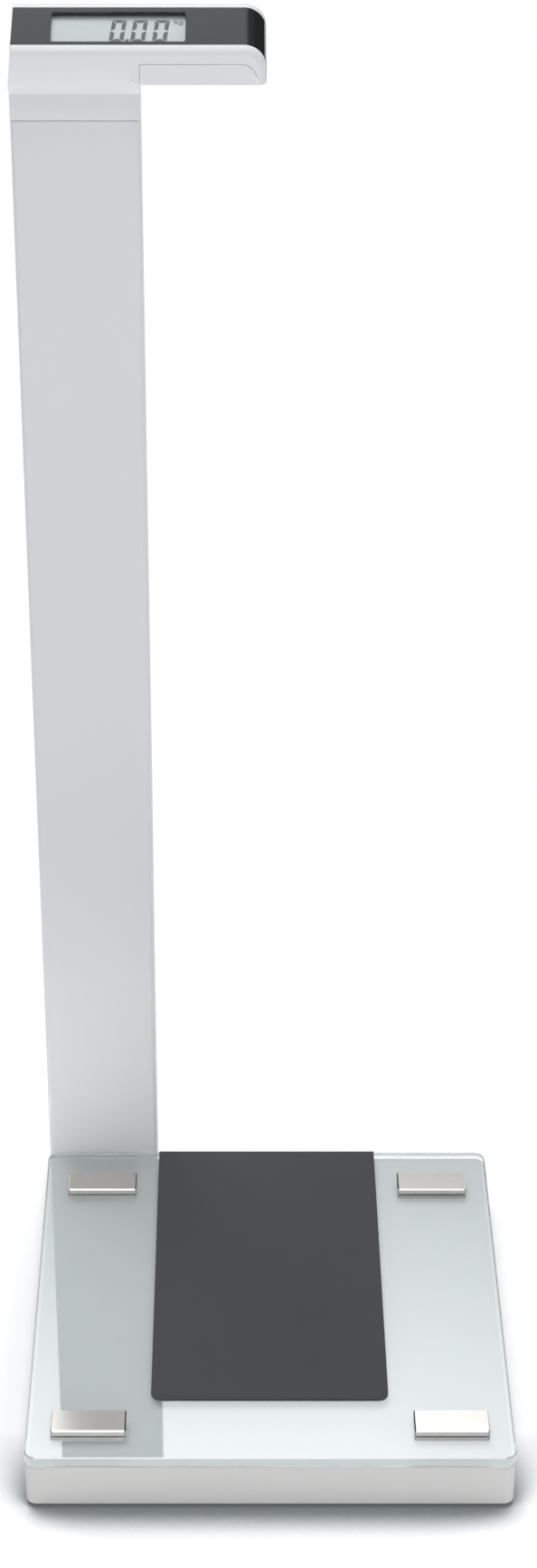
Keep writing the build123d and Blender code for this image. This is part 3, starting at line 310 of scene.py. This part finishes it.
def makeFloor():
    bm = bmesh.new()
    bmesh.ops.create_grid(bm, x_segments=1, y_segments=1, size=stage["reach"])
    mesh = bpy.data.meshes.new("floor")
    bm.to_mesh(mesh)
    bm.free()
    floor = bpy.data.objects.new("floor", mesh)
    bpy.context.scene.collection.objects.link(floor)
    material, tree, shader = newMaterial("floor_white")
    shader.inputs["Roughness"].default_value = stage["floorRough"]
    shader.inputs["Specular IOR Level"].default_value = stage["floorShine"]
    link = tree.links.new
    # painted shadow: the floor's colour is made cooler and darker where the object closes it off
    # from the room
    paintedShadowAo = addNode(tree, "ShaderNodeAmbientOcclusion", samples=stage["paintedShadowSamples"])
    paintedShadowAo.inputs["Distance"].default_value = stage["paintedShadowReach"]
    openness = tree.nodes.new("ShaderNodeMapRange")
    openness.interpolation_type = "SMOOTHSTEP"
    openness.inputs["From Min"].default_value = stage["paintedShadowSpan"][0]
    openness.inputs["From Max"].default_value = stage["paintedShadowSpan"][1]
    link(paintedShadowAo.outputs["AO"], openness.inputs["Value"])
    ground = addNode(tree, "ShaderNodeMix", data_type="RGBA")
    ground.inputs["A"].default_value = stage["paintedShadowColor"]
    ground.inputs["B"].default_value = stage["floorColor"]
    place = tree.nodes.new("ShaderNodeTexCoord")
    depth = tree.nodes.new("ShaderNodeSeparateXYZ")
    link(place.outputs["Object"], depth.inputs[0])
    beside = tree.nodes.new("ShaderNodeMapRange")
    beside.inputs["From Min"].default_value = stage["paintedShadowFront"][0]
    beside.inputs["From Max"].default_value = stage["paintedShadowFront"][1]
    beside.inputs["To Max"].default_value = stage["paintedShadowSides"]
    link(depth.outputs["Y"], beside.inputs["Value"])
    bare = addNode(tree, "ShaderNodeMath", operation="MAXIMUM")
    link(openness.outputs["Result"], bare.inputs[0])
    link(beside.outputs["Result"], bare.inputs[1])
    link(bare.outputs[0], ground.inputs["Factor"])
    link(ground.outputs["Result"], shader.inputs["Base Color"])
    path = tree.nodes.new("ShaderNodeLightPath")
    seen = addNode(tree, "ShaderNodeMath", operation="ADD", use_clamp=True)
    clear = addNode(tree, "ShaderNodeMath", operation="ADD", use_clamp=True)
    link(path.outputs["Is Camera Ray"], seen.inputs[0])
    link(path.outputs["Is Glossy Ray"], seen.inputs[1])
    link(seen.outputs[0], clear.inputs[0])
    link(path.outputs["Is Transmission Ray"], clear.inputs[1])
    lift = tree.nodes.new("ShaderNodeMapRange")
    lift.inputs["To Min"].default_value = stage["floorBounce"]
    lift.inputs["To Max"].default_value = stage["floorLift"]
    link(clear.outputs[0], lift.inputs["Value"])
    shader.inputs["Emission Color"].default_value = (1.0, 1.0, 1.0, 1.0)
    link(lift.outputs[0], shader.inputs["Emission Strength"])
    away = addNode(tree, "ShaderNodeVectorMath", operation="LENGTH")
    link(place.outputs["Object"], away.inputs[0])
    fade = tree.nodes.new("ShaderNodeMapRange")
    fade.interpolation_type = "SMOOTHSTEP"
    fade.inputs["From Min"].default_value = stage["floorFade"][0]
    fade.inputs["From Max"].default_value = stage["floorFade"][1]
    link(away.outputs["Value"], fade.inputs["Value"])
    share = addNode(tree, "ShaderNodeMath", operation="MULTIPLY")
    link(clear.outputs[0], share.inputs[0])
    link(fade.outputs["Result"], share.inputs[1])
    surround = fill(tree.nodes.new("ShaderNodeEmission"), Color=(1.0, 1.0, 1.0, 1.0))
    blend = tree.nodes.new("ShaderNodeMixShader")
    link(share.outputs[0], blend.inputs[0])
    link(shader.outputs[0], blend.inputs[1])
    link(surround.outputs[0], blend.inputs[2])
    # from below the floor isn't there
    below = tree.nodes.new("ShaderNodeNewGeometry")
    hidden = tree.nodes.new("ShaderNodeBsdfTransparent")
    ends = tree.nodes.new("ShaderNodeMixShader")
    link(below.outputs["Backfacing"], ends.inputs[0])
    link(blend.outputs[0], ends.inputs[1])
    link(hidden.outputs[0], ends.inputs[2])
    link(ends.outputs[0], tree.nodes["Material Output"].inputs["Surface"])
    mesh.materials.append(material)


def makeWorld():
    world = bpy.data.worlds.new("studio")
    world.use_nodes = True
    tree = world.node_tree
    link = tree.links.new
    out = tree.nodes["World Output"]
    even = tree.nodes["Background"]
    even.inputs["Color"].default_value = (*stage["fill"], 1.0)
    place = tree.nodes.new("ShaderNodeTexCoord")
    split = tree.nodes.new("ShaderNodeSeparateXYZ")
    link(place.outputs["Generated"], split.inputs[0])
    rise = tree.nodes.new("ShaderNodeValToRGB")
    steps = rise.color_ramp.elements
    peak = max(level for height, level in stage["sky"])
    while len(steps) < len(stage["sky"]):
        steps.new(1.0)
    for step, (height, level) in zip(steps, stage["sky"]):
        step.position = height
        step.color = (level / peak, level / peak, level / peak, 1.0)
    link(split.outputs["Z"], rise.inputs["Fac"])
    tint = addNode(tree, "ShaderNodeMix", data_type="RGBA", blend_type="MULTIPLY")
    tint.inputs["Factor"].default_value = 1.0
    tint.inputs["B"].default_value = stage["skyTint"]
    link(rise.outputs["Color"], tint.inputs["A"])
    shift = addNode(tree, "ShaderNodeMath", operation="ADD")
    shift.inputs[1].default_value = stage["skyShift"]
    link(split.outputs["X"], shift.inputs[0])
    off = addNode(tree, "ShaderNodeMath", operation="ABSOLUTE")
    link(shift.outputs[0], off.inputs[0])
    side = tree.nodes.new("ShaderNodeMapRange")
    side.interpolation_type = "SMOOTHSTEP"
    side.inputs["From Min"].default_value = stage["skySide"][0]
    side.inputs["From Max"].default_value = stage["skySide"][1]
    side.inputs["To Min"].default_value = peak
    side.inputs["To Max"].default_value = peak * stage["skySide"][2]
    link(off.outputs[0], side.inputs["Value"])
    ends = tree.nodes.new("ShaderNodeMapRange")
    ends.interpolation_type = "SMOOTHSTEP"
    ends.inputs["From Min"].default_value = stage["skyEnds"][0]
    ends.inputs["From Max"].default_value = stage["skyEnds"][1]
    ends.inputs["To Max"].default_value = peak * stage["skyEnds"][2]
    link(off.outputs[0], ends.inputs["Value"])
    rear = tree.nodes.new("ShaderNodeMapRange")
    rear.interpolation_type = "SMOOTHSTEP"
    rear.inputs["From Min"].default_value = stage["skyRear"][0]
    rear.inputs["From Max"].default_value = stage["skyRear"][1]
    rear.inputs["To Min"].default_value = 1.0
    rear.inputs["To Max"].default_value = 0.0
    link(split.outputs["Y"], rear.inputs["Value"])
    lift = addNode(tree, "ShaderNodeMath", operation="MULTIPLY")
    link(ends.outputs["Result"], lift.inputs[0])
    link(rear.outputs["Result"], lift.inputs[1])
    level = addNode(tree, "ShaderNodeMath", operation="MAXIMUM")
    link(side.outputs["Result"], level.inputs[0])
    link(lift.outputs[0], level.inputs[1])
    gloss = tree.nodes.new("ShaderNodeBackground")
    link(tint.outputs["Result"], gloss.inputs["Color"])
    link(level.outputs[0], gloss.inputs["Strength"])
    white = fill(tree.nodes.new("ShaderNodeBackground"), Color=(1.0, 1.0, 1.0, 1.0))
    path = tree.nodes.new("ShaderNodeLightPath")
    first = tree.nodes.new("ShaderNodeMixShader")
    link(path.outputs["Is Glossy Ray"], first.inputs[0])
    link(even.outputs[0], first.inputs[1])
    link(gloss.outputs[0], first.inputs[2])
    shown = addNode(tree, "ShaderNodeMath", operation="MAXIMUM")
    link(path.outputs["Is Camera Ray"], shown.inputs[0])
    link(path.outputs["Is Transmission Ray"], shown.inputs[1])
    last = tree.nodes.new("ShaderNodeMixShader")
    link(shown.outputs[0], last.inputs[0])
    link(first.outputs[0], last.inputs[1])
    link(white.outputs[0], last.inputs[2])
    link(last.outputs[0], out.inputs["Surface"])
    bpy.context.scene.world = world


def makeLamp(lamp):
    data = bpy.data.lights.new(lamp["name"], "AREA")
    data.shape = "SQUARE"
    data.size = lamp["size"]
    data.energy = lamp["power"]
    data.spread = math.radians(lamp["spread"])
    data.color = stage["lampColor"]
    softbox = bpy.data.objects.new(lamp["name"], data)
    softbox.location = lamp["place"]
    aim = Vector(lamp["aim"]) - softbox.location
    softbox.rotation_euler = aim.to_track_quat("-Z", "Y").to_euler()
    softbox.visible_glossy = False
    softbox.visible_transmission = False
    softbox.visible_camera = False
    bpy.context.scene.collection.objects.link(softbox)


makeFloor()
makeWorld()
for lamp in lamps:
    makeLamp(lamp)
bpy.context.scene.view_settings.view_transform = "Standard"
print("stage and lights made")

glass = {
    "tint": (0.955, 0.98, 0.985, 1.0),
    "ior": 1.52,
    "rough": 0.004,
    "absorb": (0.58, 0.79, 0.77, 1.0),
    "density": 7.0,
    "coat": 1.0,        # a hard reflective coating on the faces
    "coatIor": 2.6,
}
pane = {"tint": (0.98, 0.99, 0.99, 1.0), "ior": 1.49, "rough": 0.01}


def clearMaterial(name, tint, ior, rough, absorb=None, density=0.0, coat=0.0, coatIor=1.5,
                  smearScale=9.0):
    material, tree, shader = newMaterial(name)
    shader.inputs["Base Color"].default_value = tint
    shader.inputs["IOR"].default_value = ior
    shader.inputs["Transmission Weight"].default_value = 1.0
    shader.inputs["Coat Weight"].default_value = coat
    shader.inputs["Coat IOR"].default_value = coatIor
    smear = useGroup(tree, "mottle", Roughness=rough, Spread=rough, Scale=smearScale)
    tree.links.new(smear.outputs["Roughness"], shader.inputs["Roughness"])
    through = fill(tree.nodes.new("ShaderNodeBsdfTransparent"), Color=tint)
    path = tree.nodes.new("ShaderNodeLightPath")
    passes = addNode(tree, "ShaderNodeMath", operation="MAXIMUM")
    tree.links.new(path.outputs["Is Shadow Ray"], passes.inputs[0])
    tree.links.new(path.outputs["Is Diffuse Ray"], passes.inputs[1])
    mix = tree.nodes.new("ShaderNodeMixShader")
    tree.links.new(passes.outputs[0], mix.inputs[0])
    tree.links.new(shader.outputs[0], mix.inputs[1])
    tree.links.new(through.outputs[0], mix.inputs[2])
    out = tree.nodes["Material Output"]
    tree.links.new(mix.outputs[0], out.inputs["Surface"])
    if density:
        depth = tree.nodes.new("ShaderNodeVolumeAbsorption")
        fill(depth, Color=absorb, Density=density)
        tree.links.new(depth.outputs[0], out.inputs["Volume"])
    return material


dress(["glass_platform"], clearMaterial("float_glass", **glass))
dress(["window_pane"], clearMaterial("acrylic_pane", **pane))

film = {
    "bond": 0.00006,    # it rises this far into the glass, so that no air shows between them
    "weld": 0.000001,
    "finish": {"color": (0.50, 0.515, 0.515), "rough": 0.35, "amount": 0.03, "scale": 6.0,
               "spread": 0.02, "grain": 9000.0, "strength": 0.01, "metal": 0.10},
}


def makePrintFilm():
    source = nodes["glass_backing"]
    low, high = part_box("glass_backing")
    bm = bmesh.new()
    bm.from_mesh(source.data)
    bmesh.ops.remove_doubles(bm, verts=bm.verts, dist=film["weld"])
    upper = [v for v in bm.verts if v.co.z > (low.z + high.z) / 2]
    bmesh.ops.translate(bm, verts=upper, vec=(0.0, 0.0, film["bond"]))
    mesh = bpy.data.meshes.new("print_film")
    bm.to_mesh(mesh)
    bm.free()
    piece = bpy.data.objects.new("print_film", mesh)
    bpy.context.scene.collection.objects.link(piece)
    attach(piece, "scale")
    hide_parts("glass_backing")
    mesh.materials.append(skin("silver_print", **film["finish"]))


makePrintFilm()

# edge and its paler colour paint a highlight along the mat's rounded edges
mat = {"color": (0.060, 0.0625, 0.064), "rough": 0.88, "amount": 0.10, "scale": 40.0,
       "spread": 0.08, "grain": 2600.0, "strength": 0.55, "depth": 0.0003,
       "edge": 1.5, "paintedHighlightColor": (0.085, 0.088, 0.09)}
dress(["non_slip_mat"], skin("mat_rubber", **mat))

gasket = {"color": (0.022, 0.022, 0.024), "rough": 0.7, "amount": 0.2}
dress(["clamp_gaskets"], skin("gasket_rubber", **gasket))

clamp = {
    "color": (0.645, 0.615, 0.58, 1.0),
    "amount": 0.06,
    "scale": 60.0,
    "rough": 0.16,
    "spread": 0.05,
    "stretch": (60.0, 5200.0, 5200.0),  # the lines of the brushing run lengthwise
    "lines": 0.05,
    # the next three set a painted highlight along the plate's edges
    "paintedHighlightReach": 0.0009,
    "edge": 3.0,
    "paintedHighlightColor": (0.80, 0.79, 0.77, 1.0),
}


def makeClampSteel():
    # bright nickel plate, drawn lengthwise, with a softer haze between the lines
    material, tree, shader = newMaterial("nickel_plate")
    lines = useGroup(tree, "brushing", Stretch=clamp["stretch"], Strength=clamp["lines"])
    haze = useGroup(
        tree, "mottle", Color=clamp["color"], Amount=clamp["amount"], Scale=clamp["scale"],
        Roughness=clamp["rough"], Spread=clamp["spread"]
    )
    # painted highlight: the plate's edges are mixed towards a paler colour
    mask = useGroup(tree, "edge", Radius=clamp["paintedHighlightReach"], Gain=clamp["edge"])
    edgeHighlight = addNode(tree, "ShaderNodeMix", data_type="RGBA")
    tree.links.new(mask.outputs["Mask"], edgeHighlight.inputs["Factor"])
    tree.links.new(haze.outputs["Color"], edgeHighlight.inputs["A"])
    edgeHighlight.inputs["B"].default_value = clamp["paintedHighlightColor"]
    tree.links.new(edgeHighlight.outputs["Result"], shader.inputs["Base Color"])
    tree.links.new(haze.outputs["Roughness"], shader.inputs["Roughness"])
    tree.links.new(lines.outputs["Normal"], shader.inputs["Normal"])
    shader.inputs["Metallic"].default_value = 1.0
    return material


dress(corner("clamp_plate"), makeClampSteel())

# edge and its paler colour paint a highlight along the tray's rounded edges
tray = {"color": (0.54, 0.53, 0.515), "rough": 0.42, "amount": 0.05, "scale": 14.0,
        "grain": 2200.0, "strength": 0.10, "edge": 1.2, "paintedHighlightColor": (0.72, 0.715, 0.70)}
dress(["platform_tray"], skin("tray_plastic", **tray))
print("platform finished")

zinc = {"color": (0.56, 0.57, 0.58), "rough": 0.34, "amount": 0.25, "scale": 160.0,
        "spread": 0.2, "grain": 600.0, "strength": 0.08, "metal": 1.0}
zincNames = ["base_cover", "base_cover_screws", "clamp_nuts", "arm_bolts", "load_cell_screws"]
zincNames += ["junction_board_screws", "column_foot_screws", "spigot_screws", "neck_screws"]
zincNames += ["rear_cover_screws", "main_board_screws"]
dress(zincNames + corner("load_cell"), skin("zinc_plate", **zinc))

foot = {"color": (0.028, 0.028, 0.030), "rough": 0.82, "amount": 0.2, "scale": 80.0,
        "grain": 1800.0, "strength": 0.4}
dress(corner("rubber_foot"), skin("foot_rubber", **foot))

carrier = {"color": (0.10, 0.10, 0.105), "rough": 0.5, "amount": 0.12, "scale": 50.0}
dress(corner("foot_carrier"), skin("carrier_plastic", **carrier))

casting = {"color": (0.60, 0.61, 0.62), "rough": 0.46, "amount": 0.12, "scale": 90.0,
           "spread": 0.15, "grain": 900.0, "strength": 0.4, "depth": 0.0002, "metal": 1.0}
dress(["column_foot"], skin("cast_aluminium", **casting))
print("underside finished")

# edge and its paler colour paint a highlight along the column's rounded corners
column = {"color": (0.600, 0.605, 0.612), "rough": 0.40, "amount": 0.035, "scale": 5.0,
          "spread": 0.05, "grain": 2400.0, "strength": 0.10, "edge": 1.2,
          "paintedHighlightColor": (0.76, 0.77, 0.785), "metal": 0.08}
dress(["column_tube"], skin("column_coat", **column))
print("column finished")

# edge and its paler colour paint a highlight along the head's rounded edges and rims
head = {"color": (0.64, 0.645, 0.655), "rough": 0.36, "amount": 0.03, "scale": 12.0,
        "spread": 0.05, "grain": 2600.0, "strength": 0.09, "edge": 1.0,
        "paintedHighlightColor": (0.80, 0.81, 0.83)}
dress(["head_housing", "head_rear_cover", "battery_cover"], skin("head_plastic", **head))

panel = {"color": (0.014, 0.0145, 0.015), "rough": 0.10, "amount": 0.15, "scale": 10.0,
         "spread": 0.03, "grain": 5000.0, "strength": 0.015, "coat": 0.35, "coatRough": 0.03}
dress(["display_panel"], skin("panel_black", **panel))

inner = {"color": (0.045, 0.045, 0.047), "rough": 0.45, "amount": 0.2, "scale": 60.0}
innerNames = ["lcd_frame", "lcd_connector_strip", "battery_tray", "cable_connector"]
innerNames += ["junction_connector", "unit_switch_body", "unit_switch_knob", "neck_spigot"]
dress(innerNames, skin("inner_plastic", **inner))

board = {"color": (0.03, 0.15, 0.075), "rough": 0.3, "amount": 0.3, "scale": 200.0,
         "coat": 0.4}
dress(["main_board", "junction_board"], skin("board_green", **board))

cable = {"color": (0.30, 0.30, 0.31), "rough": 0.5, "amount": 0.1, "scale": 120.0}
dress(["signal_cable", "load_cell_wires"], skin("cable_grey", **cable))

cells = {"color": (0.22, 0.24, 0.27), "rough": 0.3, "amount": 0.1, "scale": 60.0,
         "metal": 0.6}
dress(["battery_cells"], skin("battery_wrap", **cells))

contact = {"color": (0.72, 0.70, 0.66), "rough": 0.25, "amount": 0.1, "scale": 200.0,
           "metal": 1.0}
dress(["battery_contacts", "battery_springs"], skin("contact_nickel", **contact))

lcd = {"color": (0.415, 0.45, 0.455), "rough": 0.35, "amount": 0.05, "scale": 25.0,
       "grain": 6000.0, "strength": 0.02}
dress(["lcd_module"], skin("lcd_face", **lcd))
print("head finished")

# the display's figures, in mm from the middle of its face
figures = {
    "tilt": 20.0,           # degrees, the slope of the panel
    "middle": -0.0882,      # where the window's middle is across the object, in metres
    "starts": (-4.6, 7.6, 20.0),    # left edge of each figure at its foot
    "width": 8.3,
    "height": 19.4,
    "foot": -9.3,
    "stroke": 2.4,
    "gap": 0.35,
    "lean": 0.09,
    "dotGap": 0.9,
    "dotSize": 2.2,
    "unitStarts": {"k": 31.0, "g": 33.7},
    "unitFoot": 6.6,
    "unitSize": 3.6,
    "rise": 0.05,
    "finish": {"color": (0.020, 0.024, 0.026), "rough": 0.4, "amount": 0.1, "scale": 200.0,
               "strength": 0.02},
}
# strokes of the small letters, as shares of their size
letters = {
    "k": [
        [(0.0, 0.0), (0.0, 1.0), (0.17, 1.0), (0.17, 0.0)],
        [(0.17, 0.34), (0.17, 0.561), (0.5, 0.72), (0.68, 0.72)],
        [(0.272, 0.493), (0.442, 0.612), (0.70, 0.0), (0.48, 0.0)],
    ],
    "g": [
        [(0.0, 0.17), (0.0, 0.55), (0.17, 0.55), (0.17, 0.17)],
        [(0.068, 0.55), (0.153, 0.72), (0.62, 0.72), (0.62, 0.55)],
        [(0.068, 0.17), (0.45, 0.17), (0.45, 0.0), (0.153, 0.0)],
        [(0.45, 0.55), (0.62, 0.55), (0.62, -0.11), (0.45, -0.11)],
        [(0.0, -0.28), (0.0, -0.11), (0.62, -0.11), (0.535, -0.28)],
    ],
}


def displayPlane():
    # the display's upper face: its middle, and the way up the slope and out of it
    low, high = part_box("lcd_module")
    angle = math.radians(figures["tilt"])
    c, s = math.cos(angle), math.sin(angle)
    deep, tall = high.y - low.y, high.z - low.z
    width = (deep * c - tall * s) / (c * c - s * s)
    up = Vector((0.0, c, s))
    out = Vector((0.0, -s, c))
    middle = Vector((figures["middle"], low.y, high.z - width * s)) + up * width / 2
    return middle, up, out


def addStroke(bm, outline):
    corners = [bm.verts.new((x + y * figures["lean"], y, 0.0)) for x, y in outline]
    bm.faces.new(corners)


def addFigure(bm, left):
    # one slanted nought out of six strokes with mitred ends
    right = left + figures["width"]
    foot = figures["foot"]
    top = foot + figures["height"]
    half = (foot + top) / 2
    w, g = figures["stroke"], figures["gap"]
    addStroke(bm, [(left + g, top), (right - g, top), (right - w - g, top - w),
                   (left + w + g, top - w)])
    addStroke(bm, [(left + g, foot), (left + w + g, foot + w), (right - w - g, foot + w),
                   (right - g, foot)])
    # the sides: from low to high, each with its inner corners cut back
    sides = [(foot, half, w, w / 2), (half, top, w / 2, w)]
    for edge, inward in ((left, w), (right, -w)):
        for low, high, base, cut in sides:
            addStroke(bm, [(edge, low + g), (edge, high - g), (edge + inward, high - cut - g),
                           (edge + inward, low + base + g)])


def addLetter(bm, letter):
    left, foot, size = figures["unitStarts"][letter], figures["unitFoot"], figures["unitSize"]
    for outline in letters[letter]:
        addStroke(bm, [(left + x * size, foot + y * size) for x, y in outline])


def makeFigures():
    bm = bmesh.new()
    for start in figures["starts"]:
        addFigure(bm, start)
    dot = figures["starts"][0] + figures["width"] + figures["dotGap"]
    foot, size = figures["foot"], figures["dotSize"]
    addStroke(bm, [(dot, foot), (dot, foot + size), (dot + size, foot + size),
                   (dot + size, foot)])
    for letter in letters:
        addLetter(bm, letter)
    bmesh.ops.recalc_face_normals(bm, faces=bm.faces)
    for face in bm.faces:
        if face.normal.z < 0:
            face.normal_flip()
    thick = bmesh.ops.extrude_face_region(bm, geom=bm.faces[:])
    raised = [v for v in thick["geom"] if isinstance(v, bmesh.types.BMVert)]
    bmesh.ops.translate(bm, verts=raised, vec=(0.0, 0.0, figures["rise"]))
    bmesh.ops.recalc_face_normals(bm, faces=bm.faces)
    middle, up, out = displayPlane()
    place = Matrix((
        (mm, 0.0, 0.0, middle.x),
        (0.0, up.y * mm, out.y * mm, middle.y),
        (0.0, up.z * mm, out.z * mm, middle.z),
        (0.0, 0.0, 0.0, 1.0),
    ))
    bmesh.ops.transform(bm, matrix=place, verts=bm.verts)
    mesh = bpy.data.meshes.new("display_figures")
    bm.to_mesh(mesh)
    bm.free()
    piece = bpy.data.objects.new("display_figures", mesh)
    bpy.context.scene.collection.objects.link(piece)
    mesh.materials.append(skin("figure_ink", **figures["finish"]))
    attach(piece, "scale")


makeFigures()
print("display figures made")
